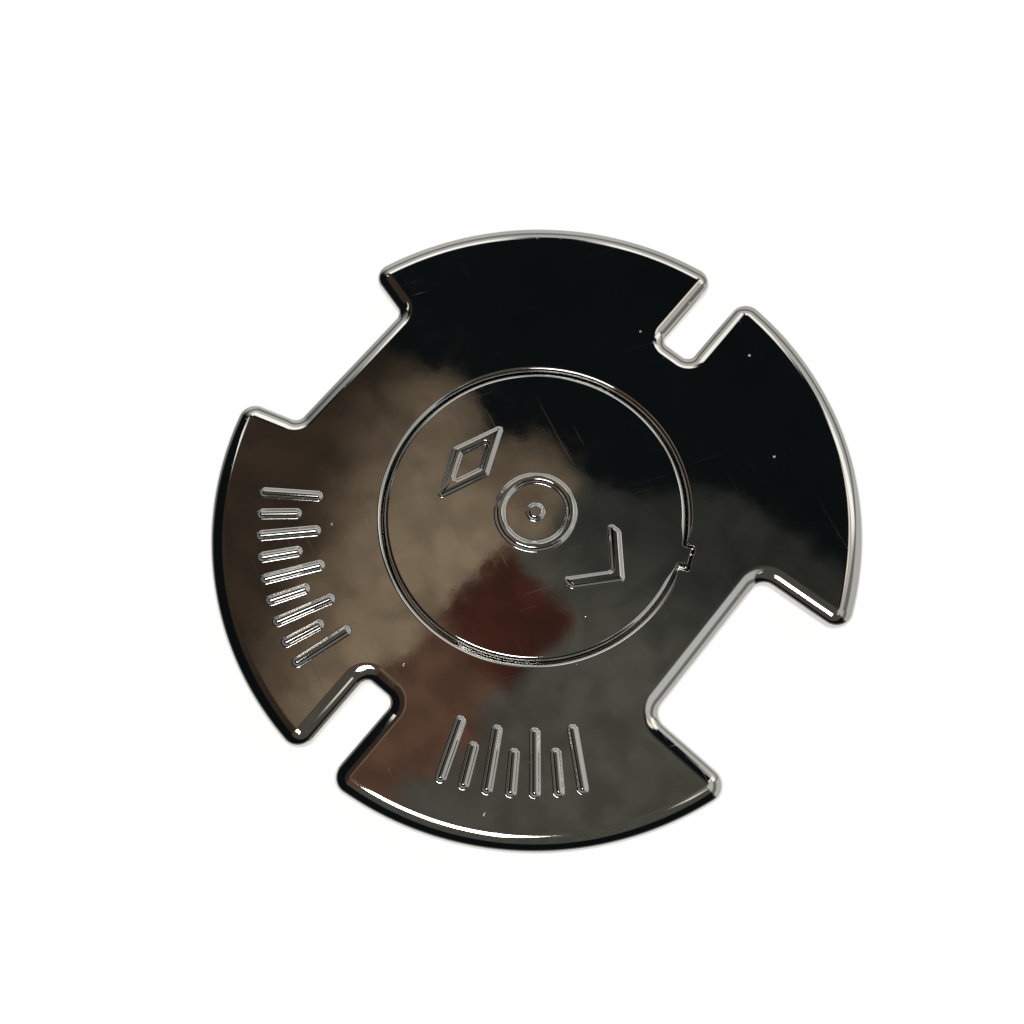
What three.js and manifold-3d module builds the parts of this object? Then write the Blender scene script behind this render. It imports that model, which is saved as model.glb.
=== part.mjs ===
// A golf ball marker in two pieces: a bright-plated die-cast disc, and a small round coin that
// sits in a pocket in the middle of it and is held there by a magnet. The coin lifts out.
//
// Millimetres, +Z up. The origin is the middle of the disc's flat back, which is the face that
// lies on the green. +Y runs along the two narrow sighting slots, +X towards the deep notch.

import * as THREE from "three";
import { mergeVertices } from "three/addons/utils/BufferGeometryUtils.js";
import Module from "manifold-3d";

const wasm = await Module();
wasm.setup();

// ---- Driving dimensions ----------------------------------------------------------------

// The disc. Its marked face slopes off gently at the rim. Its back has a steep bevel, which
// lets a fingernail under it. A narrow upright land is left between them.
const discRadius = 20;
const discThickness = 2.1;
const faceBevel = { width: 0.9, depth: 0.32 };
const backBevel = { width: 0.9, depth: 1.1 };
const tipRadius = 1.1; // a little more than the bevels are wide

// Each opening in the rim has a straight floor across its axis, which points at `angle`.
// `flare` opens its sides outwards, and `corner` is the radius between floor and side. The
// casting's openings are a little off centre: `offset` is how far, to the left of the axis.
const slot = { floor: 14.15, halfWidth: 1.08, flare: 0, corner: 0.5 };
const deepNotch = { floor: 13.2, halfWidth: 5.25, flare: 2.5, corner: 0.85 };
const shallowNotch = { floor: 15.55, halfWidth: 4.85, flare: 16, corner: 0.6 };
const rimOpenings = [
  { angle: 0, offset: 0.13, ...deepNotch },
  { angle: 90, offset: -0.1, ...slot },
  { angle: 180, offset: -0.15, ...shallowNotch },
  { angle: 270, offset: -0.13, ...slot },
];

// The coin, flush with the disc's face, in a pocket with a small clearance all round.
const coinRadius = 9.25;
const coinThickness = 1;
const coinClearance = 0.12;
const seamEdge = 0.3; // radius on the coin's upper edge and on the pocket's mouth
const coinLowerEdge = 0.15;

// The key on the coin's edge keeps the mark square to the slots. Its keyway is wider than it
// is on one side, which leaves a gap for a fingernail or a tee to lift the coin by.
const keyAngle = 22;
const keyWidth = 1.15;
const keyReach = 0.58; // beyond the coin's edge
const keySideClearance = 0.06;
const nailGap = 0.32;

// The magnet lies under the coin in a blind pocket, in a cup of adhesive.
const magnetRadius = 6;
const adhesiveWall = 0.2;
const adhesiveFloor = 0.1;
const magnetPocketDepth = 0.6;
const magnetBelowSeat = 0.02; // the coin sits on its ledge and never on the magnet

// Raised marks. The coin carries a plain sighting motif along X, the disc two sets of
// graduations between its slots and its notches.
const markHeight = 0.2;
const markRoot = 0.3; // how far a mark reaches down into the metal it grows from
const markDraft = 0.08;
const strokeWidth = 0.62;
const lozenge = { x: -5.1, halfWidth: 1.4, halfHeight: 3.2 };
const ball = { x: 0.1, radius: 2.5, spotRadius: 0.55 };
const arrowhead = { x: 3.9, halfHeight: 2.3, run: 2.1, arm: 0.95 };
const tickInnerRadius = 13.4;
const tickOuterRadius = 16.7;
const shortTickInnerRadius = 14.6;
const tickWidth = 0.56;
const tickSets = [
  { from: -145, to: -107, count: 9 },
  { from: -69, to: -41, count: 7 },
];

const roundSteps = 64;
const rimSteps = 22; // along each lobe of the rim
const pocketRadius = coinRadius + coinClearance;
const seatHeight = discThickness - coinThickness;

// ---- Helpers ---------------------------------------------------------------------------

const radians = THREE.MathUtils.degToRad;

// Points along an arc about (x, y), from one angle to another in degrees, ends included.
function arc(x, y, radius, from, to, steps) {
  return Array.from({ length: steps + 1 }, (_, i) => {
    const a = radians(from + ((to - from) * i) / steps);
    return new THREE.Vector2(x + radius * Math.cos(a), y + radius * Math.sin(a));
  });
}

function extrude(points, depth, bevel = {}) {
  return new THREE.ExtrudeGeometry(new THREE.Shape(points), {
    depth,
    bevelEnabled: false,
    ...bevel,
  });
}

function toSolid(geometry) {
  const bare = geometry.clone();
  bare.deleteAttribute("normal");
  bare.deleteAttribute("uv");
  const merged = mergeVertices(bare, 1e-4);
  return new wasm.Manifold(
    new wasm.Mesh({
      numProp: 3,
      vertProperties: merged.attributes.position.array,
      triVerts: new Uint32Array(merged.index.array),
    }),
  );
}

function toGeometry(solid) {
  const mesh = solid.getMesh();
  const geometry = new THREE.BufferGeometry();
  geometry.setAttribute("position", new THREE.BufferAttribute(mesh.vertProperties, 3));
  geometry.setIndex(new THREE.BufferAttribute(mesh.triVerts, 1));
  geometry.computeVertexNormals();
  return geometry;
}

function lathe(profile) {
  const points = profile.map(([r, z]) => new THREE.Vector2(r, z));
  return new THREE.LatheGeometry(points, roundSteps).rotateX(Math.PI / 2);
}

// ---- The disc's outline ----------------------------------------------------------------

// The left side of an opening whose axis is +X, walked from its floor out to the rim. `reach`
// is the side's distance from the axis through the disc's centre.
function openingSide({ floor, flare, corner }, reach) {
  const sin = Math.sin(radians(flare));
  const cos = Math.cos(radians(flare));
  // The tip's arc touches the opening's side and the rim, both from within the metal.
  const touch = new THREE.Vector2(floor - sin * tipRadius, reach + cos * tipRadius);
  const along = new THREE.Vector2(cos, sin);
  const inwards = touch.dot(along);
  const run = Math.sqrt(inwards ** 2 - touch.lengthSq() + (discRadius - tipRadius) ** 2);
  const tip = touch.addScaledVector(along, run - inwards);
  const tipAngle = THREE.MathUtils.radToDeg(tip.angle());
  const cornerY = reach - (corner * (1 - sin)) / cos;
  return {
    tipAngle,
    points: [
      ...arc(floor + corner, cornerY, corner, 180, 90 + flare, 4),
      ...arc(tip.x, tip.y, tipRadius, flare - 90, tipAngle, 6),
    ],
  };
}

function discOutline() {
  const origin = new THREE.Vector2();
  const openings = rimOpenings.map((opening) => {
    const left = openingSide(opening, opening.halfWidth + opening.offset);
    const right = openingSide(opening, opening.halfWidth - opening.offset);
    const mirrored = right.points.map((p) => new THREE.Vector2(p.x, -p.y)).reverse();
    return {
      start: opening.angle - right.tipAngle,
      end: opening.angle + left.tipAngle,
      points: [...mirrored, ...left.points].map((p) =>
        p.rotateAround(origin, radians(opening.angle)),
      ),
    };
  });
  return openings.flatMap(({ end, points }, i) => {
    const next = openings[(i + 1) % openings.length];
    const nextStart = next.start < end ? next.start + 360 : next.start;
    const rim = arc(0, 0, discRadius, end, nextStart, rimSteps).slice(1, -1);
    return [...points, ...rim];
  });
}

// ---- Solids ----------------------------------------------------------------------------

// The quarter round on a mouth or an edge: [radius, height] pairs from the wall up to the face.
function mouthRound(radius, top, edge, sign, steps = 4) {
  return Array.from({ length: steps + 1 }, (_, i) => {
    const a = radians((90 * i) / steps);
    return [
      radius + sign * edge * (1 - Math.cos(a)),
      top - edge + edge * Math.sin(a),
    ];
  });
}

// A bar across the coin's edge, turned to the key's angle. Both sides are offsets from its axis.
function keyBar(left, right, reach, bottom, top) {
  const bar = extrude(
    [
      new THREE.Vector2(coinRadius - 1, -right),
      new THREE.Vector2(coinRadius + reach, -right),
      new THREE.Vector2(coinRadius + reach, left),
      new THREE.Vector2(coinRadius - 1, left),
    ],
    top - bottom,
  );
  return bar.translate(0, 0, bottom).rotateZ(radians(keyAngle));
}

// A raised mark of constant height whose sides lean in a little towards its top.
function raised(points, holes = []) {
  const shape = new THREE.Shape(points);
  shape.holes = holes.map((hole) => new THREE.Path(hole));
  const geometry = new THREE.ExtrudeGeometry(shape, {
    depth: markRoot,
    bevelEnabled: true,
    bevelThickness: markHeight,
    bevelSize: markDraft,
    bevelOffset: -markDraft,
    bevelSegments: 1,
  });
  geometry.translate(0, 0, discThickness - markRoot);
  // The lower bevel would undercut the root, so only what stands above the face is kept.
  const above = extrude(arc(0, 0, discRadius, 0, 345, 23), markHeight + 1);
  above.translate(0, 0, discThickness - markHeight / 2);
  return toSolid(geometry).intersect(toSolid(above));
}

// A straight stroke with round ends, `width` wide, from a to b.
function stroke(a, b, width) {
  const heading = THREE.MathUtils.radToDeg(Math.atan2(b[1] - a[1], b[0] - a[0]));
  return [
    ...arc(b[0], b[1], width / 2, heading - 90, heading + 90, 6),
    ...arc(a[0], a[1], width / 2, heading + 90, heading + 270, 6),
  ];
}

function graduations() {
  return tickSets.flatMap(({ from, to, count }) =>
    Array.from({ length: count }, (_, i) => {
      const a = radians(from + ((to - from) * i) / (count - 1));
      const inner = i % 2 ? shortTickInnerRadius : tickInnerRadius;
      const at = (r) => [r * Math.cos(a), r * Math.sin(a)];
      return raised(stroke(at(inner), at(tickOuterRadius), tickWidth));
    }),
  );
}

function rhombus(x, halfWidth, halfHeight) {
  return [
    new THREE.Vector2(x + halfWidth, 0),
    new THREE.Vector2(x, halfHeight),
    new THREE.Vector2(x - halfWidth, 0),
    new THREE.Vector2(x, -halfHeight),
  ];
}

function lozengeMark() {
  const { x, halfWidth, halfHeight } = lozenge;
  const inset = strokeWidth * Math.hypot(halfWidth, halfHeight);
  const hole = rhombus(x, halfWidth - inset / halfHeight, halfHeight - inset / halfWidth);
  return raised(rhombus(x, halfWidth, halfHeight), [hole]);
}

function arrowheadMark() {
  const { x, halfHeight, run, arm } = arrowhead;
  return raised([
    new THREE.Vector2(x, halfHeight),
    new THREE.Vector2(x + run, 0),
    new THREE.Vector2(x, -halfHeight),
    new THREE.Vector2(x + arm, -halfHeight),
    new THREE.Vector2(x + arm + run, 0),
    new THREE.Vector2(x + arm, halfHeight),
  ]);
}

// A lozenge, a ball on its spot, and an arrowhead that gives the line.
function sightingMotif() {
  const { x, radius, spotRadius } = ball;
  const ring = raised(arc(x, 0, radius, 0, 345, 23), [
    arc(x, 0, radius - strokeWidth, 0, 345, 23),
  ]);
  const spot = raised(arc(x, 0, spotRadius, 0, 330, 11));
  return [lozengeMark(), ring, spot, arrowheadMark()];
}

// The disc's outline between two heights, with the same bevel at both ends.
function bevelled(bottom, top, { width, depth }) {
  const slab = extrude(discOutline(), top - bottom - 2 * depth, {
    bevelEnabled: true,
    bevelThickness: depth,
    bevelSize: width,
    bevelOffset: -width,
    bevelSegments: 1,
  });
  return toSolid(slab.translate(0, 0, bottom + depth));
}

function markerBody() {
  const above = discThickness + 1;
  const blank = bevelled(-above, discThickness, faceBevel).intersect(
    bevelled(0, 2 * above, backBevel),
  );
  const coinPocket = lathe([
    [0, seatHeight],
    [pocketRadius, seatHeight],
    ...mouthRound(pocketRadius, discThickness, seamEdge, 1),
    [pocketRadius + seamEdge, above],
    [0, above],
  ]);
  const magnetPocket = lathe([
    [0, seatHeight - magnetPocketDepth],
    [magnetRadius + adhesiveWall, seatHeight - magnetPocketDepth],
    [magnetRadius + adhesiveWall, discThickness],
    [0, discThickness],
  ]);
  const half = keyWidth / 2;
  const keyway = keyBar(
    half + keySideClearance,
    half + nailGap,
    keyReach + coinClearance,
    seatHeight,
    above,
  );
  const cut = [coinPocket, magnetPocket, keyway].reduce(
    (solid, cutter) => solid.subtract(toSolid(cutter)),
    blank,
  );
  return toGeometry(graduations().reduce((solid, tick) => solid.add(tick), cut));
}

function centreCoin() {
  const disc = lathe([
    [0, seatHeight],
    [coinRadius - coinLowerEdge, seatHeight],
    [coinRadius, seatHeight + coinLowerEdge],
    ...mouthRound(coinRadius, discThickness, seamEdge, -1),
    [0, discThickness],
  ]);
  const half = keyWidth / 2;
  const key = keyBar(half, half, keyReach, seatHeight + 0.1, discThickness - 0.1);
  const keyed = toSolid(disc).add(toSolid(key));
  return toGeometry(sightingMotif().reduce((solid, mark) => solid.add(mark), keyed));
}

function holdingMagnet() {
  const bottom = seatHeight - magnetPocketDepth + adhesiveFloor;
  return lathe([
    [0, bottom],
    [magnetRadius, bottom],
    [magnetRadius, seatHeight - magnetBelowSeat],
    [0, seatHeight - magnetBelowSeat],
  ]);
}

// The adhesive fills what the magnet leaves of its pocket: a floor and a thin wall.
function magnetAdhesive() {
  const bottom = seatHeight - magnetPocketDepth;
  const wallTop = seatHeight - magnetBelowSeat;
  return lathe([
    [0, bottom],
    [magnetRadius + adhesiveWall, bottom],
    [magnetRadius + adhesiveWall, wallTop],
    [magnetRadius, wallTop],
    [magnetRadius, bottom + adhesiveFloor],
    [0, bottom + adhesiveFloor],
  ]);
}

// ---- The assembly ----------------------------------------------------------------------

const metal = (color, roughness) =>
  new THREE.MeshStandardMaterial({ color, roughness, metalness: 1 });
const plating = metal(0xb9b6b0, 0.08);
const coinPlating = metal(0xb4b1ab, 0.1);
const magnetPlating = metal(0xa9a59c, 0.3);
const epoxy = new THREE.MeshStandardMaterial({ color: 0xcfc9b4, roughness: 0.35 });

function piece(name, geometry, material) {
  const mesh = new THREE.Mesh(geometry, material);
  mesh.name = name;
  return mesh;
}

const ballMarker = new THREE.Group();
ballMarker.name = "ball_marker";
ballMarker.add(
  piece("marker_body", markerBody(), plating),
  piece("centre_coin", centreCoin(), coinPlating),
  piece("holding_magnet", holdingMagnet(), magnetPlating),
  piece("magnet_adhesive", magnetAdhesive(), epoxy),
);

export default ballMarker;
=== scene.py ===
"""The looks of a golf ball marker: a bright-plated die-cast disc with a keyed coin in its middle.

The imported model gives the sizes. The disc, the coin, the magnet and its adhesive are built again
here as finely swept meshes, in metres, with procedural metal on them. Every curved surface is a
profile swept round an outline, and every flat one is a cap filled between those sweeps.
"""

import math

import bpy
from mathutils import Matrix, Vector
from mathutils.geometry import tessellate_polygon


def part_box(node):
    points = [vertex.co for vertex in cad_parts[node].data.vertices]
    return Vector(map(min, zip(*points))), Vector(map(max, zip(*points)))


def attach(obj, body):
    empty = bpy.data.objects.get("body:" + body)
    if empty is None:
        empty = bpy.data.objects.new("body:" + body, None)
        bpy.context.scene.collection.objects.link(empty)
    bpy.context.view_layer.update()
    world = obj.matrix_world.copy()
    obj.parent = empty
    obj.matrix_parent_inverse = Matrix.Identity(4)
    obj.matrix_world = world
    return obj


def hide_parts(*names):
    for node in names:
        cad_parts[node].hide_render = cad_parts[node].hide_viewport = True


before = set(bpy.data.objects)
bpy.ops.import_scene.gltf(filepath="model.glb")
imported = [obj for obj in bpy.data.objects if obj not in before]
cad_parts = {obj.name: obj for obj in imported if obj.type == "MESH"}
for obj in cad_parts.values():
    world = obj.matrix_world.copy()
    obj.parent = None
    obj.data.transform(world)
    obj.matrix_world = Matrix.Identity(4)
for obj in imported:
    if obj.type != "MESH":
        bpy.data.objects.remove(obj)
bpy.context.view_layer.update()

MM = 0.001
UP = Vector((0, 0, 1))
DOWN = -UP

# ---- Sizes, in metres, from the frame wherever it has them -------------------------------

body_low, body_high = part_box("marker_body")
coin_low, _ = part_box("centre_coin")
magnet_low, magnet_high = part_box("holding_magnet")
glue_low, glue_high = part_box("magnet_adhesive")

MARK_HEIGHT = 0.2 * MM
FACE = body_high.z - MARK_HEIGHT
BACK = body_low.z
SEAT = coin_low.z

# The disc's outline, as the CAD part has it. A rim opening's angles are in degrees, and its
# lengths in millimetres.
DISC_RADIUS = 20 * MM
BEVEL_WIDTH = 0.9 * MM
FACE_BEVEL_DEPTH = 0.32 * MM
BACK_BEVEL_DEPTH = 1.1 * MM
TIP_RADIUS = 1.1 * MM
SLOT = {"floor": 14.15, "half_width": 1.08, "flare": 0, "corner": 0.5}
DEEP_NOTCH = {"floor": 13.2, "half_width": 5.25, "flare": 2.5, "corner": 0.85}
SHALLOW_NOTCH = {"floor": 15.55, "half_width": 4.85, "flare": 16, "corner": 0.6}
RIM_OPENINGS = [
    {"angle": 0, "offset": 0.13, **DEEP_NOTCH},
    {"angle": 90, "offset": -0.1, **SLOT},
    {"angle": 180, "offset": -0.15, **SHALLOW_NOTCH},
    {"angle": 270, "offset": -0.13, **SLOT},
]
FACE_EDGE_ROUND = 1.7 * MM
BEVEL_CROWN = 0.06 * MM  # the front bevel's middle stands this far over the CAD's flat one,
CROWN_ROUND = 2 * MM  # before this rounding takes a little of it off
UPPER_LAND_ROUND = 0.42 * MM
LOWER_LAND_ROUND = 0.18 * MM
BACK_EDGE_ROUND = 0.15 * MM

# The coin and its pocket.
COIN_RADIUS = -coin_low.x
COIN_CLEARANCE = 0.12 * MM
SEAM_EDGE = 0.3 * MM
COIN_LOWER_EDGE = 0.15 * MM
KEY_ANGLE = 22
KEY_HALF_WIDTH = 0.575 * MM
KEY_REACH = 0.58 * MM
KEY_SIDE_CLEARANCE = 0.06 * MM
NAIL_GAP = 0.32 * MM
KEY_CORNER = 0.13 * MM
KEY_EDGE_SHARE = 0.25  # the edges along the key have this share of their width round the coin,
KEY_BLEND = 1.3 * MM  # and widen again over this much of the circle

MAGNET_RADIUS = magnet_high.x
ADHESIVE_RADIUS = glue_high.x
ADHESIVE_FLOOR = magnet_low.z - glue_low.z
ADHESIVE_SAG = 0.05 * MM
ADHESIVE_EDGE = 0.02 * MM
SMALL_EDGE = 0.06 * MM

# Raised marks.
MARK_SLOPE = 0.14 * MM  # how far a mark's side leans in
MARK_ROOT_ROUND = 0.16 * MM
MARK_TOP_ROUND = 0.24 * MM
STROKE = 0.62 * MM
TICK_WIDTH = 0.56 * MM
TICK_OUTER = 16.7 * MM
TICK_INNERS = (13.4 * MM, 14.6 * MM)  # long and short ticks by turns
TICK_SETS = [(-145, -107, 9), (-69, -41, 7)]
LOZENGE = {"x": -5.1 * MM, "half_width": 1.4 * MM, "half_height": 3.2 * MM}
BALL = {"x": 0.1 * MM, "radius": 2.5 * MM, "spot": 0.55 * MM}
ARROWHEAD = {"x": 3.9 * MM, "half_height": 2.3 * MM, "run": 2.1 * MM, "arm": 0.95 * MM}
MARK_CORNER = 0.2 * MM
HOLE_CORNER = 0.13 * MM

OUTLINE_STEP = 0.16 * MM  # the longest stretch of an arc between two points
FINE_STEP = 0.03 * MM  # the same on the small arcs of marks, corners and profiles
RUN_OUT = 0.2 * MM  # how far past its last corner a profile's end point is put


# ---- Flat curves -------------------------------------------------------------------------
#
# A curve is a list of (point, normal) pairs. It is walked with the metal on its left, so the
# normal, which points out of the metal, is on its right.


def polar(angle, radius=1.0):
    """The point at an angle in degrees."""
    return Vector((math.cos(math.radians(angle)), math.sin(math.radians(angle)))) * radius


def arc(centre, radius, start, end, step=OUTLINE_STEP):
    """An arc from one angle to another. It bulges out of the metal if the angle grows."""
    count = max(3, math.ceil(radius * math.radians(abs(end - start)) / step))
    bulge = 1 if end > start else -1
    angles = [start + (end - start) * i / count for i in range(count + 1)]
    return [(centre + polar(a, radius), polar(a) * bulge) for a in angles]


def circle(radius, centre=(0, 0), step=OUTLINE_STEP):
    return arc(Vector(centre), radius, 0, 360, step)[:-1]


def hole(curve):
    """The same closed curve with the metal on its other side."""
    return [(point, -normal) for point, normal in reversed(curve)]


def corner_arc(before, here, after, radius):
    """The arc that rounds off one corner of a path."""
    back = (before - here).normalized()
    ahead = (after - here).normalized()
    half = back.angle(ahead) / 2
    centre = here + (back + ahead).normalized() * (radius / math.sin(half))
    turn = 1 if back.cross(ahead) < 0 else -1
    middle = math.degrees(math.atan2(here.y - centre.y, here.x - centre.x))
    sweep = 90 - math.degrees(half)
    return arc(centre, radius, middle - turn * sweep, middle + turn * sweep, FINE_STEP)


def rounded_polygon(corners, radius):
    """A closed polygon with all its corners rounded."""
    curve = []
    for i, here in enumerate(corners):
        curve += corner_arc(corners[i - 1], here, corners[(i + 1) % len(corners)], radius)
    return curve


def profile(points, radii):
    """A path of (offset, height) points, each of them rounded but for the first and the last.

    Those two only give the path its direction, and aren't in the curve.
    """
    path = [Vector(p) for p in points]
    curve = []
    for i, radius in enumerate(radii, start=1):
        curve += corner_arc(path[i - 1], path[i], path[i + 1], radius)
    return curve


# ---- Meshes ------------------------------------------------------------------------------


class Surface:
    """Vertices, their exact normals and faces, gathered from sweeps and caps."""

    def __init__(self):
        self.points = []
        self.normals = []
        self.faces = []

    def sweep(self, outline, section, shares=None):
        """Carries a profile round a closed outline, and returns its first and last loops.

        A share under 1 narrows the part of the profile that lies inside the outline there, and
        tilts its normals to suit.
        """
        shares = shares or [1.0] * len(outline)
        start, width = len(self.points), len(section)
        for (point, normal), share in zip(outline, shares):
            for (offset, height), tilt in section:
                reach = offset * share if offset < 0 else offset
                flat = point + normal * reach
                self.points.append(Vector((flat.x, flat.y, height)))
                out = normal.to_3d() * tilt.x + UP * (tilt.y * share)
                self.normals.append(out.normalized())
        for i in range(len(outline)):
            here, there = start + i * width, start + (i + 1) % len(outline) * width
            for j in range(width - 1):
                self.faces.append((here + j, there + j, there + j + 1, here + j + 1))
        rows = [start + i * width for i in range(len(outline))]
        return rows, [row + width - 1 for row in rows]

    def cap(self, loops, facing):
        """Fills between flat loops, the outermost first. A loop inside it is a hole."""
        order = [index for loop in loops for index in loop]
        flat = [[self.points[index].xy.to_3d() for index in loop] for loop in loops]
        for a, b, c in tessellate_polygon(flat):
            face = [order[a], order[b], order[c]]
            edge = self.points[face[1]] - self.points[face[0]]
            turn = edge.cross(self.points[face[2]] - self.points[face[0]])
            if turn.dot(facing) < 0:
                face.reverse()
            self.faces.append(tuple(face))

    def piece(self, name, body, slot, material, *nodes):
        """Makes the object, which stands for CAD nodes and moves with a body."""
        mesh = bpy.data.meshes.new(name)
        mesh.from_pydata(self.points, [], self.faces)
        mesh.shade_smooth()
        mesh.normals_split_custom_set_from_vertices(self.normals)
        mesh.materials.append(material)
        made = bpy.data.objects.new(name, mesh)
        bpy.context.scene.collection.objects.link(made)
        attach(made, body)
        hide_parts(*nodes)
        return made


# ---- Outlines ----------------------------------------------------------------------------


def opening_side(opening, reach):
    """The left side of a rim opening whose axis is +X, from its floor out to the rim."""
    flare = opening["flare"]
    floor, corner = opening["floor"] * MM, opening["corner"] * MM
    along = polar(flare)
    touch = Vector((floor, reach)) + polar(flare + 90) * TIP_RADIUS
    inwards = touch.dot(along)
    limit = (DISC_RADIUS - TIP_RADIUS) ** 2
    run = math.sqrt(inwards**2 - touch.length_squared + limit) - inwards
    tip = touch + along * run
    tip_angle = math.degrees(math.atan2(tip.y, tip.x))
    slope = math.radians(flare)
    corner_y = reach - corner * (1 - math.sin(slope)) / math.cos(slope)
    centre = Vector((floor + corner, corner_y))
    floor_arc = arc(centre, corner, 180, 90 + flare, FINE_STEP)
    return tip_angle, floor_arc + arc(tip, TIP_RADIUS, flare - 90, tip_angle, FINE_STEP)


def turned(curve, angle):
    turn = Matrix.Rotation(math.radians(angle), 2)
    return [(turn @ point, turn @ normal) for point, normal in curve]


def mirrored(curve):
    """The curve reflected in the X axis, walked so that the metal stays on its left."""
    flip = Vector((1, -1))
    return [(point * flip, normal * flip) for point, normal in reversed(curve)]


def disc_outline():
    """Four lobes of rim between the two slots and the two notches."""
    openings = []
    for opening in RIM_OPENINGS:
        half, offset = opening["half_width"] * MM, opening["offset"] * MM
        left_angle, left = opening_side(opening, half + offset)
        right_angle, right = opening_side(opening, half - offset)
        curve = turned(mirrored(right) + left, opening["angle"])
        openings.append((opening["angle"] - right_angle, opening["angle"] + left_angle, curve))
    outline = []
    for i, (_, end, curve) in enumerate(openings):
        next_start = openings[(i + 1) % len(openings)][0]
        if next_start < end:
            next_start += 360
        outline += curve + arc(Vector((0, 0)), DISC_RADIUS, end, next_start)[1:-1]
    return outline


def keyed_outline(radius, left, right):
    """A circle with the key standing out of it, and how wide an edge each of its points has.

    Left and right are how far the key's two sides are from its middle.
    """

    def on_circle(side):
        return Vector((math.sqrt(radius**2 - side**2), side))

    far = radius + KEY_REACH
    corners = [on_circle(-right), Vector((far, -right)), Vector((far, left)), on_circle(left)]
    entry = corners[0] - Vector((0, MM))
    leave = corners[-1] + Vector((0, MM))
    path = [entry, *corners, leave]
    key = []
    for i in range(1, len(path) - 1):
        key += corner_arc(path[i - 1], path[i], path[i + 1], KEY_CORNER)
    start = math.degrees(math.atan2(key[-1][0].y, key[-1][0].x))
    end = 360 + math.degrees(math.atan2(key[0][0].y, key[0][0].x))
    rest = arc(Vector((0, 0)), radius, start, end)[1:-1]
    shares = [KEY_EDGE_SHARE] * len(key)
    for i in range(len(rest)):
        away = min(i + 1, len(rest) - i) / len(rest) * math.radians(end - start) * radius
        t = min(1.0, away / KEY_BLEND)
        shares.append(KEY_EDGE_SHARE + (1 - KEY_EDGE_SHARE) * t * t * (3 - 2 * t))
    return turned(key + rest, KEY_ANGLE), shares


# ---- Raised marks ------------------------------------------------------------------------


def mark_section():
    """Up from the face, in over a small root fillet, and over a rounded top."""
    top = FACE + MARK_HEIGHT
    return profile(
        [(RUN_OUT, FACE), (0, FACE), (-MARK_SLOPE, top), (-MARK_SLOPE - RUN_OUT, top)],
        [MARK_ROOT_ROUND, MARK_TOP_ROUND],
    )


def raise_mark(surface, outline, inner=None):
    """Adds a mark, with or without a hole in it. Returns its loops where they meet the face."""
    foot, top = surface.sweep(outline, mark_section())
    if inner is None:
        surface.cap([top], UP)
        return foot, None
    inner_foot, inner_top = surface.sweep(hole(inner), mark_section())
    surface.cap([top, inner_top], UP)
    return foot, inner_foot


def stroke(start, end, width):
    """A straight bar with round ends."""
    heading = math.degrees(math.atan2(end.y - start.y, end.x - start.x))
    near = arc(start, width / 2, heading + 90, heading + 270, FINE_STEP)
    return arc(end, width / 2, heading - 90, heading + 90, FINE_STEP) + near


def graduations(surface):
    """Two sets of ticks between the slots and the notches."""
    feet = []
    for first, last, count in TICK_SETS:
        for i in range(count):
            angle = first + (last - first) * i / (count - 1)
            inner = polar(angle, TICK_INNERS[i % 2])
            outline = stroke(inner, polar(angle, TICK_OUTER), TICK_WIDTH)
            feet.append(raise_mark(surface, outline)[0])
    return feet


def rhombus(x, half_width, half_height, corner):
    corners = [(half_width, 0), (0, half_height), (-half_width, 0), (0, -half_height)]
    return rounded_polygon([Vector((x + dx, dy)) for dx, dy in corners], corner)


def sighting_motif(surface):
    """A lozenge, a ball on its spot, and an arrowhead, in a line along X."""
    x, wide, high = LOZENGE.values()
    inset = STROKE * math.hypot(wide, high)
    lozenge = rhombus(x, wide, high, MARK_CORNER)
    inner = rhombus(x, wide - inset / high, high - inset / wide, HOLE_CORNER)
    lozenge_foot, lozenge_island = raise_mark(surface, lozenge, inner)
    surface.cap([lozenge_island], UP)

    centre = (BALL["x"], 0)
    ring = circle(BALL["radius"], centre, FINE_STEP)
    ring_hole = circle(BALL["radius"] - STROKE, centre, FINE_STEP)
    ring_foot, ring_island = raise_mark(surface, ring, ring_hole)
    spot_foot, _ = raise_mark(surface, circle(BALL["spot"], centre, FINE_STEP))
    surface.cap([ring_island, spot_foot], UP)

    x, high, run, arm = ARROWHEAD.values()
    back = [(x, high), (x + run, 0), (x, -high)]
    front = [(x + arm, -high), (x + arm + run, 0), (x + arm, high)]
    arrowhead = rounded_polygon([Vector(p) for p in back + front], MARK_CORNER)
    arrow_foot, _ = raise_mark(surface, arrowhead)
    return [lozenge_foot, ring_foot, arrow_foot]


# ---- Pieces ------------------------------------------------------------------------------


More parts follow.
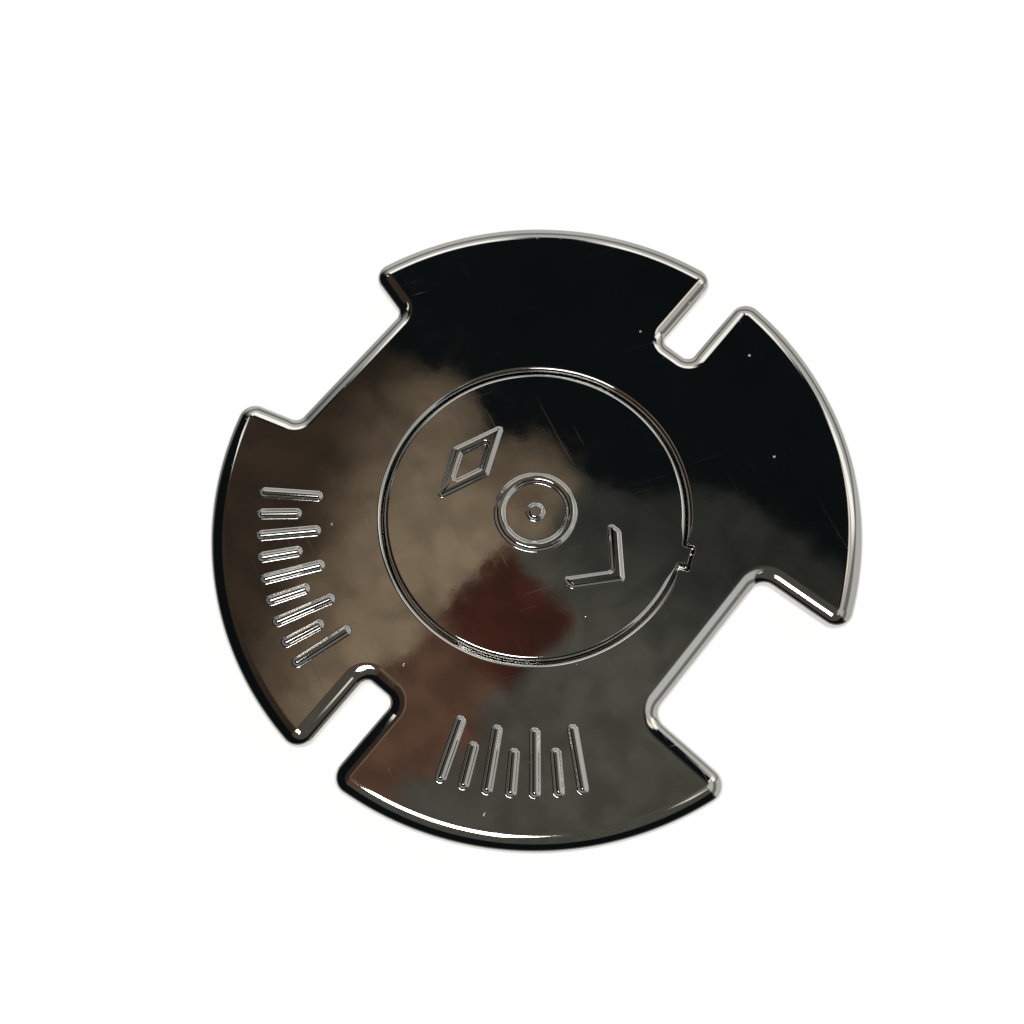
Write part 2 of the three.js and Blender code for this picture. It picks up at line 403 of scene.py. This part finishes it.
def marker_body(material):
    surface = Surface()
    edge = profile(
        [
            (-BEVEL_WIDTH - RUN_OUT, BACK),
            (-BEVEL_WIDTH, BACK),
            (0, BACK + BACK_BEVEL_DEPTH),
            (0, FACE - FACE_BEVEL_DEPTH),
            (-BEVEL_WIDTH / 2, FACE - FACE_BEVEL_DEPTH / 2 + BEVEL_CROWN),
            (-BEVEL_WIDTH, FACE),
            (-BEVEL_WIDTH - RUN_OUT, FACE),
        ],
        [BACK_EDGE_ROUND, LOWER_LAND_ROUND, UPPER_LAND_ROUND, CROWN_ROUND, FACE_EDGE_ROUND],
    )
    back_rim, face_rim = surface.sweep(disc_outline(), edge)

    pocket, shares = keyed_outline(
        COIN_RADIUS + COIN_CLEARANCE,
        KEY_HALF_WIDTH + KEY_SIDE_CLEARANCE,
        KEY_HALF_WIDTH + NAIL_GAP,
    )
    wall = profile(
        [(RUN_OUT, SEAT), (0, SEAT), (0, FACE), (-RUN_OUT, FACE)],
        [SMALL_EDGE, SEAM_EDGE],
    )
    seat_rim, mouth = surface.sweep(hole(pocket), wall, shares[::-1])

    floor = glue_low.z
    bore = profile(
        [(RUN_OUT, floor), (0, floor), (0, SEAT), (-RUN_OUT, SEAT)],
        [SMALL_EDGE, SMALL_EDGE],
    )
    bore_floor, bore_mouth = surface.sweep(hole(circle(ADHESIVE_RADIUS)), bore)

    surface.cap([face_rim, mouth, *graduations(surface)], UP)
    surface.cap([seat_rim, bore_mouth], UP)
    surface.cap([bore_floor], UP)
    surface.cap([back_rim], DOWN)
    surface.piece("plated_disc", "marker", "plated_casting", material, "marker_body")


def centre_coin(material):
    surface = Surface()
    outline, shares = keyed_outline(COIN_RADIUS, KEY_HALF_WIDTH, KEY_HALF_WIDTH)
    edge = profile(
        [(-RUN_OUT, SEAT), (0, SEAT), (0, FACE), (-RUN_OUT, FACE)],
        [COIN_LOWER_EDGE, SEAM_EDGE],
    )
    under, rim = surface.sweep(outline, edge, shares)
    surface.cap([rim, *sighting_motif(surface)], UP)
    surface.cap([under], DOWN)
    surface.piece("keyed_coin", "coin", "plated_coin", material, "centre_coin")


def holding_magnet(material):
    surface = Surface()
    low, high = magnet_low.z, magnet_high.z
    edge = profile(
        [(-RUN_OUT, low), (0, low), (0, high), (-RUN_OUT, high)],
        [SMALL_EDGE, SMALL_EDGE],
    )
    under, top = surface.sweep(circle(MAGNET_RADIUS), edge)
    surface.cap([under], DOWN)
    surface.cap([top], UP)
    surface.piece("magnet_disc", "marker", "magnet_plating", material, "holding_magnet")


def magnet_adhesive(material):
    """A cup with a hollow rim: liquid adhesive creeps up both walls before it sets."""
    surface = Surface()
    low, high = glue_low.z, glue_high.z
    floor = low + ADHESIVE_FLOOR
    wall = ADHESIVE_RADIUS - MAGNET_RADIUS
    section = profile(
        [
            (-RUN_OUT, low),
            (0, low),
            (0, high),
            (-wall / 2, high - ADHESIVE_SAG),
            (-wall, high),
            (-wall, floor),
            (-wall - RUN_OUT, floor),
        ],
        [ADHESIVE_EDGE, ADHESIVE_EDGE, wall, ADHESIVE_EDGE, ADHESIVE_EDGE],
    )
    under, inside = surface.sweep(circle(ADHESIVE_RADIUS), section)
    surface.cap([under], DOWN)
    surface.cap([inside], UP)
    surface.piece("adhesive_cup", "marker", "epoxy", material, "magnet_adhesive")


# ---- Shading -----------------------------------------------------------------------------


# The bright plating's depths are in metres. Its haze is a range of roughness.
HAZE = (0.03, 0.07)
PEEL_DEPTH = 0.0006 * MM
SCRATCH_SETS = [(24, 0.31), (-57, 0.3)]  # each set's angle and density
SCRATCH_DEPTH = 0.0004 * MM
SCRATCH_ROUGHNESS = 0.06
PIT_SPACING = 1.3 * MM
PIT_RADIUS = 0.09 * MM
PIT_DEPTH = 0.02 * MM
PIT_ROUGHNESS = 0.35


class Nodes:
    """A node tree, with short names for the kinds of node that this scene uses."""

    def __init__(self, tree):
        self.tree = tree
        tree.nodes.clear()

    def feed(self, socket, value):
        if isinstance(value, bpy.types.NodeSocket):
            self.tree.links.new(value, socket)
        else:
            socket.default_value = value

    def add(self, kind, inputs=None, **settings):
        node = self.tree.nodes.new(kind)
        for name, value in settings.items():
            setattr(node, name, value)
        for name, value in (inputs or {}).items():
            self.feed(node.inputs[name], value)
        return node

    def math(self, operation, *values):
        node = self.add("ShaderNodeMath", operation=operation)
        for socket, value in zip(node.inputs, values):
            self.feed(socket, value)
        return node.outputs[0]

    def step(self, value, low, high, start=0.0, end=1.0):
        """Rises smoothly from start to end as value goes from low to high."""
        inputs = {"Value": value, "From Min": low, "From Max": high}
        inputs.update({"To Min": start, "To Max": end})
        node = self.add("ShaderNodeMapRange", inputs, interpolation_type="SMOOTHSTEP")
        return node.outputs["Result"]

    def mix(self, share, a, b):
        """Colour a, turning into colour b as share goes from 0 to 1."""
        node = self.add("ShaderNodeMix", data_type="RGBA")
        for index, value in ((0, share), (6, a), (7, b)):
            self.feed(node.inputs[index], value)
        return node.outputs[2]

    def noise(self, coordinates, scale, detail=2.0, stretch=None):
        """Soft noise. scale is in features for each metre of the object."""
        if stretch:
            mapping = {"Vector": coordinates, "Scale": stretch}
            coordinates = self.add("ShaderNodeMapping", mapping).outputs["Vector"]
        inputs = {"Vector": coordinates, "Scale": scale, "Detail": detail}
        return self.add("ShaderNodeTexNoise", inputs).outputs["Fac"]

    def bump(self, height, distance, under=None):
        """Adds relief, this deep in metres, over the relief that is under it."""
        inputs = {"Height": height, "Distance": distance, "Strength": 1.0}
        if under:
            inputs["Normal"] = under
        return self.add("ShaderNodeBump", inputs).outputs["Normal"]


def shader_material(name):
    material = bpy.data.materials.new(name)
    material.use_nodes = True
    nodes = Nodes(material.node_tree)
    coordinates = nodes.add("ShaderNodeTexCoord").outputs["Object"]
    return material, nodes, coordinates


def finish_shader(nodes, inputs):
    shader = nodes.add("ShaderNodeBsdfPrincipled", inputs)
    output = nodes.add("ShaderNodeOutputMaterial")
    nodes.feed(output.inputs["Surface"], shader.outputs["BSDF"])


def scratches(nodes, coordinates, angle, density):
    """Hair-fine polishing lines that run one way: 1 on a line and 0 between them."""
    mapping = {"Vector": coordinates, "Rotation": (0, 0, math.radians(angle))}
    rotated = nodes.add("ShaderNodeMapping", mapping).outputs["Vector"]
    lines = nodes.noise(rotated, 1.0, 3.0, stretch=(140, 9000, 140))
    return nodes.step(lines, 1 - density, 1 - density + 0.05)


def pits(nodes, coordinates, share):
    """Scattered round pits: 1 inside a pit. Only this share of the cells has one."""
    inputs = {"Vector": coordinates, "Scale": 1 / PIT_SPACING}
    cells = nodes.add("ShaderNodeTexVoronoi", inputs)
    rim = PIT_RADIUS / PIT_SPACING
    inside = nodes.step(cells.outputs["Distance"], rim, 0.4 * rim)
    pick = nodes.add("ShaderNodeSeparateColor", {"Color": cells.outputs["Color"]})
    chosen = nodes.math("LESS_THAN", pick.outputs[0], share)
    return nodes.math("MULTIPLY", inside, chosen)


def bright_plating(name, deep, light, ripple, pit_share):
    """Nickel over a polished metal: mirror-bright, gently rippled, finely scratched."""
    material, nodes, where = shader_material(name)
    cloud = nodes.noise(where, 120, 3.0)
    film = nodes.noise(where, 700, 4.0)
    lines = nodes.math("MAXIMUM", *[scratches(nodes, where, *one) for one in SCRATCH_SETS])
    pitting = pits(nodes, where, pit_share)
    haze = nodes.step(film, 0.35, 0.8, *HAZE)
    hazed = nodes.math("MULTIPLY_ADD", lines, SCRATCH_ROUGHNESS, haze)
    roughness = nodes.math("MULTIPLY_ADD", pitting, PIT_ROUGHNESS, hazed)

    swell = nodes.bump(nodes.noise(where, 210, 1.0), ripple)
    peel = nodes.bump(nodes.noise(where, 1900, 2.0), PEEL_DEPTH, under=swell)
    lined = nodes.bump(lines, SCRATCH_DEPTH, under=peel)
    dotted = nodes.bump(nodes.math("MULTIPLY", pitting, -1.0), PIT_DEPTH, under=lined)
    finish_shader(
        nodes,
        {
            "Base Color": nodes.mix(nodes.step(cloud, 0.3, 0.7), deep, light),
            "Metallic": 1.0,
            "Roughness": roughness,
            "Normal": dotted,
        },
    )
    return material


def ground_nickel(name):
    """The magnet's plating: duller, with the fine circular grain of a ground disc."""
    material, nodes, where = shader_material(name)
    split = nodes.add("ShaderNodeSeparateXYZ", {"Vector": where})
    x, y = split.outputs["X"], split.outputs["Y"]
    squares = nodes.math("ADD", nodes.math("MULTIPLY", x, x), nodes.math("MULTIPLY", y, y))
    radius = nodes.math("SQRT", squares)
    rings = nodes.add("ShaderNodeCombineXYZ", {"X": radius})
    grain = nodes.noise(rings.outputs["Vector"], 9000, 3.0)
    cloud = nodes.noise(where, 500, 3.0)
    finish_shader(
        nodes,
        {
            "Base Color": nodes.mix(cloud, (0.38, 0.36, 0.32, 1), (0.56, 0.54, 0.5, 1)),
            "Metallic": 1.0,
            "Roughness": nodes.step(grain, 0.2, 0.8, 0.22, 0.42),
            "Normal": nodes.bump(grain, 0.002 * MM),
        },
    )
    return material


def cured_epoxy(name):
    """Amber, glossy and slightly cloudy."""
    material, nodes, where = shader_material(name)
    cloud = nodes.noise(where, 1500, 3.0)
    finish_shader(
        nodes,
        {
            "Base Color": nodes.mix(cloud, (0.42, 0.33, 0.17, 1), (0.62, 0.53, 0.34, 1)),
            "Roughness": nodes.step(cloud, 0.3, 0.8, 0.12, 0.3),
            "Subsurface Weight": 0.15,
            "Subsurface Scale": 0.3 * MM,
            "Normal": nodes.bump(cloud, 0.004 * MM),
        },
    )
    return material


# ---- Studio ------------------------------------------------------------------------------

CAMERA_PLACE = Vector((14.39, -14.86, 65.89)) * MM
CAMERA_TARGET = Vector((0.11, -0.01, 1.48)) * MM
CAMERA_ROLL = -4.56
LENS = 38.6
SHIFT = (-0.0233, 0.0032)

FLOOR_HALF = 0.4
FLOOR_GAP = 0.03 * MM
FLOOR_GLOW = 0.68  # lifts the lit paper to a plain white
PAPER = ((0.9, 0.9, 0.89, 1), (0.93, 0.93, 0.92, 1))


def camera():
    data = bpy.data.cameras.new("camera")
    data.lens = LENS
    data.shift_x, data.shift_y = SHIFT
    data.clip_start = 0.001
    data.clip_end = 20
    made = bpy.data.objects.new("camera", data)
    aim = (CAMERA_TARGET - CAMERA_PLACE).to_track_quat("-Z", "Y").to_matrix().to_4x4()
    roll = Matrix.Rotation(math.radians(CAMERA_ROLL), 4, "Z")
    made.matrix_world = Matrix.Translation(CAMERA_PLACE) @ aim @ roll
    bpy.context.scene.collection.objects.link(made)
    bpy.context.scene.camera = made


def floor():
    """A sheet of white paper, a hair below the marker's back."""
    material, nodes, where = shader_material("paper")
    fibre = nodes.noise(where, 900, 4.0)
    finish_shader(
        nodes,
        {
            "Base Color": nodes.mix(fibre, *PAPER),
            "Roughness": 0.9,
            "Emission Color": (1, 1, 1, 1),
            "Emission Strength": FLOOR_GLOW,
        },
    )
    corners = [(-1, -1), (1, -1), (1, 1), (-1, 1)]
    mesh = bpy.data.meshes.new("floor")
    points = [(x * FLOOR_HALF, y * FLOOR_HALF, BACK - FLOOR_GAP) for x, y in corners]
    mesh.from_pydata(points, [], [(0, 1, 2, 3)])
    mesh.materials.append(material)
    made = bpy.data.objects.new("floor", mesh)
    bpy.context.scene.collection.objects.link(made)


def softbox(name, azimuth, from_zenith, distance, size, power):
    """A rectangular light that faces the marker. Azimuth is in degrees from +X."""
    data = bpy.data.lights.new(name, "AREA")
    data.shape = "RECTANGLE"
    data.size, data.size_y = size
    data.energy = power
    made = bpy.data.objects.new(name, data)
    flat = polar(azimuth, math.sin(math.radians(from_zenith)))
    place = Vector((flat.x, flat.y, math.cos(math.radians(from_zenith)))) * distance
    made.location = place
    made.rotation_euler = place.to_track_quat("Z", "Y").to_euler()
    bpy.context.scene.collection.objects.link(made)


NEUTRAL_DARK = (0.1, 0.101, 0.085, 1)
BLACK = (0.0052, 0.0072, 0.0078, 1)
WARM_DARK = (0.052, 0.036, 0.025, 1)
WARM_LIGHT = (0.31, 0.235, 0.16, 1)
RED_BROWN = (0.07, 0.024, 0.0155, 1)
BROWN = (0.14, 0.077, 0.05, 1)
WALL = (0.6, 0.61, 0.6, 1)
WALL_SHADE = (0.2, 0.205, 0.195, 1)
WINDOW = (1.4, 1.4, 1.35, 1)
LAMP = (1.1, 1.0, 0.85, 1)
GREY_SIDES = (0.24, 0.245, 0.24, 1)
PALE_ROOM = (0.98, 0.98, 0.98, 1)

# The ceiling's patches are placed by the spots on the marker's face, in metres, that mirror them
# to CAMERA_PLACE. Here and in the rest of the room, a pair in brackets that ends in _STARTS or
# _ENDS is where a change begins and where it is complete.
CEILING_SWAY = 7 * MM  # how far the patches' edges wander
WARM_SLANT = 0.35
WARM_LIGHT_STARTS = (-14.5 * MM, -7 * MM)
WARM_ENDS = (-0.5 * MM, 1.5 * MM)
RED_SIDES = (-0.4 * MM, 6 * MM)
RED_SOFTNESS = 0.6 * MM
RED_STARTS = (-2 * MM, -3.5 * MM)
RED_ENDS = (-8 * MM, -11 * MM)
DIM_ENDS = (6 * MM, -5 * MM)
DIM_SHARE = 0.35
MOTTLE_SHARE = 0.35
BLACK_STARTS = (2.9 * MM, 4.1 * MM)
BLACK_CLIMB = 4.5 * MM
BLACK_CLIMB_STARTS = (2 * MM, 8 * MM)

# Further down the room: azimuths in degrees, rises as sines of the elevation, and slopes from
# the vertical towards +X and +Y.
OVERHEAD_STARTS = (0.8, 0.83)
SIDES_STARTS = (0.42, 0.3)
WALL_AZIMUTHS = (6, 168)
WALL_SOFTNESS = 14
WALL_TOP_STARTS = (0.74, 0.7)
WALL_RIGHT_STARTS = (0.15, 0.3)
WALL_FAR_STARTS = (0.0, 0.12)
SHADE_RISES = (0.41, 0.54)
SHADE_SOFTNESS = 0.03
SHADE_CLIMB = 0.27
SHADE_CLIMB_STARTS = (72, 52)

# Each pane's two azimuths, and its sill's and its head's rises.
WINDOW_PANES = [
    (61, 83, 0.67, 0.8),
    (95, 124, 0.67, 0.8),
    (134, 160, 0.67, 0.8),
    (176, 188, 0.74, 0.84),
]
PANE_SIDE_SOFTNESS = 3
PANE_RISE_SOFTNESS = 0.015

# Each lamp's two slopes towards +X, and its two towards +Y.
LAMPS = [(0.3, 0.42, -0.03, 0.02), (0.12, 0.22, 0.42, 0.7)]
LAMP_SOFTNESS = 0.02


def between(nodes, value, low, high, soft):
    """1 from low to high, and 0 outside them."""
    rise = nodes.step(value, low - soft, low + soft)
    fall = nodes.step(value, high + soft, high - soft)
    return nodes.math("MULTIPLY", rise, fall)


def ceiling(nodes, direction, slope_x, slope_y):
    """Warm and red patches and a black one, with edges that wander."""
    height = CAMERA_PLACE.z - FACE
    x = nodes.math("MULTIPLY_ADD", slope_x, height, CAMERA_PLACE.x - CEILING_SWAY / 2)
    y = nodes.math("MULTIPLY_ADD", slope_y, height, CAMERA_PLACE.y - CEILING_SWAY / 2)
    x = nodes.math("MULTIPLY_ADD", nodes.noise(direction, 15, 4.0), CEILING_SWAY, x)
    y = nodes.math("MULTIPLY_ADD", nodes.noise(direction, 11, 4.0), CEILING_SWAY, y)

    slant = nodes.math("MULTIPLY_ADD", y, WARM_SLANT, x)
    warm = nodes.mix(nodes.step(slant, *WARM_LIGHT_STARTS), WARM_DARK, WARM_LIGHT)
    colour = nodes.mix(nodes.step(x, *WARM_ENDS), warm, NEUTRAL_DARK)
    red = nodes.math(
        "MULTIPLY",
        between(nodes, x, *RED_SIDES, RED_SOFTNESS),
        nodes.step(y, *RED_STARTS),
    )
    fading = nodes.mix(nodes.step(y, *RED_ENDS), RED_BROWN, BROWN)
    colour = nodes.mix(red, colour, fading)
    colour = nodes.mix(nodes.step(y, *DIM_ENDS, DIM_SHARE, 1.0), BLACK, colour)
    mottle = nodes.step(nodes.noise(direction, 38, 4.0), 0.35, 0.65, MOTTLE_SHARE, 0.0)
    colour = nodes.mix(mottle, colour, BLACK)
    climb = nodes.math("MULTIPLY", nodes.step(x, *BLACK_CLIMB_STARTS), BLACK_CLIMB)
    above = nodes.math("SUBTRACT", y, climb)
    return nodes.mix(nodes.step(above, *BLACK_STARTS), colour, BLACK)


def pale_wall(nodes, azimuth, rise, slope_x, slope_y):
    """Low down on the far side, and reaching up overhead on the right."""
    low = nodes.math(
        "MULTIPLY",
        between(nodes, azimuth, *WALL_AZIMUTHS, WALL_SOFTNESS),
        nodes.step(rise, *WALL_TOP_STARTS),
    )
    right = nodes.math(
        "MULTIPLY",
        nodes.step(slope_x, *WALL_RIGHT_STARTS),
        nodes.step(slope_y, *WALL_FAR_STARTS),
    )
    return nodes.math("MAXIMUM", low, right)


def wall_shade(nodes, azimuth, rise):
    """A darker stripe along the wall, which climbs at its right end."""
    climb = nodes.step(azimuth, *SHADE_CLIMB_STARTS, 0.0, SHADE_CLIMB)
    levelled = nodes.math("SUBTRACT", rise, climb)
    return between(nodes, levelled, *SHADE_RISES, SHADE_SOFTNESS)


def patches(nodes, spans, across, along, across_soft, along_soft):
    """1 inside any of the spans, each of which is two values across and two along."""
    lit = 0.0
    for left, right, near, far in spans:
        inside = nodes.math(
            "MULTIPLY",
            between(nodes, across, left, right, across_soft),
            between(nodes, along, near, far, along_soft),
        )
        lit = nodes.math("ADD", lit, inside)
    return lit


def room():
    """A dark ceiling with two lamps, grey sides, and a pale wall with windows along its top."""
    world = bpy.data.worlds.new("room")
    bpy.context.scene.world = world
    world.use_nodes = True
    nodes = Nodes(world.node_tree)
    direction = nodes.add("ShaderNodeTexCoord").outputs["Generated"]
    split = nodes.add("ShaderNodeSeparateXYZ", {"Vector": direction})
    east, north, rise = split.outputs["X"], split.outputs["Y"], split.outputs["Z"]
    azimuth = nodes.math("DEGREES", nodes.math("ARCTAN2", north, east))
    steep = nodes.math("MAXIMUM", rise, 0.12)  # keeps the slopes finite near the horizon
    slope_x = nodes.math("DIVIDE", east, steep)
    slope_y = nodes.math("DIVIDE", north, steep)

    overhead = ceiling(nodes, direction, slope_x, slope_y)
    wall = nodes.mix(wall_shade(nodes, azimuth, rise), WALL, WALL_SHADE)
    lamps = patches(nodes, LAMPS, slope_x, slope_y, LAMP_SOFTNESS, LAMP_SOFTNESS)
    panes = patches(
        nodes, WINDOW_PANES, azimuth, rise, PANE_SIDE_SOFTNESS, PANE_RISE_SOFTNESS
    )
    colour = nodes.mix(nodes.step(rise, *SIDES_STARTS), BLACK, GREY_SIDES)
    colour = nodes.mix(nodes.step(rise, *OVERHEAD_STARTS), colour, overhead)
    colour = nodes.mix(pale_wall(nodes, azimuth, rise, slope_x, slope_y), colour, wall)
    colour = nodes.mix(lamps, colour, LAMP)
    colour = nodes.mix(panes, colour, WINDOW)

    seen = nodes.add("ShaderNodeLightPath").outputs["Is Camera Ray"]
    shown = nodes.mix(seen, colour, PALE_ROOM)
    background = nodes.add("ShaderNodeBackground", {"Color": shown})
    output = nodes.add("ShaderNodeOutputWorld")
    nodes.feed(output.inputs["Surface"], background.outputs["Background"])


def studio():
    camera()
    floor()
    room()
    softbox("key", azimuth=271, from_zenith=14.5, distance=0.5, size=(0.14, 0.08), power=0.384)
    bpy.context.scene.view_settings.view_transform = "Standard"


# ---- The scene ---------------------------------------------------------------------------

studio()
casting_plating = bright_plating(
    "casting_nickel",
    deep=(0.6, 0.585, 0.55, 1),
    light=(0.7, 0.685, 0.65, 1),
    ripple=0.012 * MM,
    pit_share=0.14,
)
marker_body(casting_plating)
coin_plating = bright_plating(
    "coin_nickel",
    deep=(0.58, 0.57, 0.54, 1),
    light=(0.68, 0.67, 0.64, 1),
    ripple=0.009 * MM,
    pit_share=0.05,
)
centre_coin(coin_plating)
holding_magnet(ground_nickel("magnet_nickel"))
magnet_adhesive(cured_epoxy("cured_epoxy"))
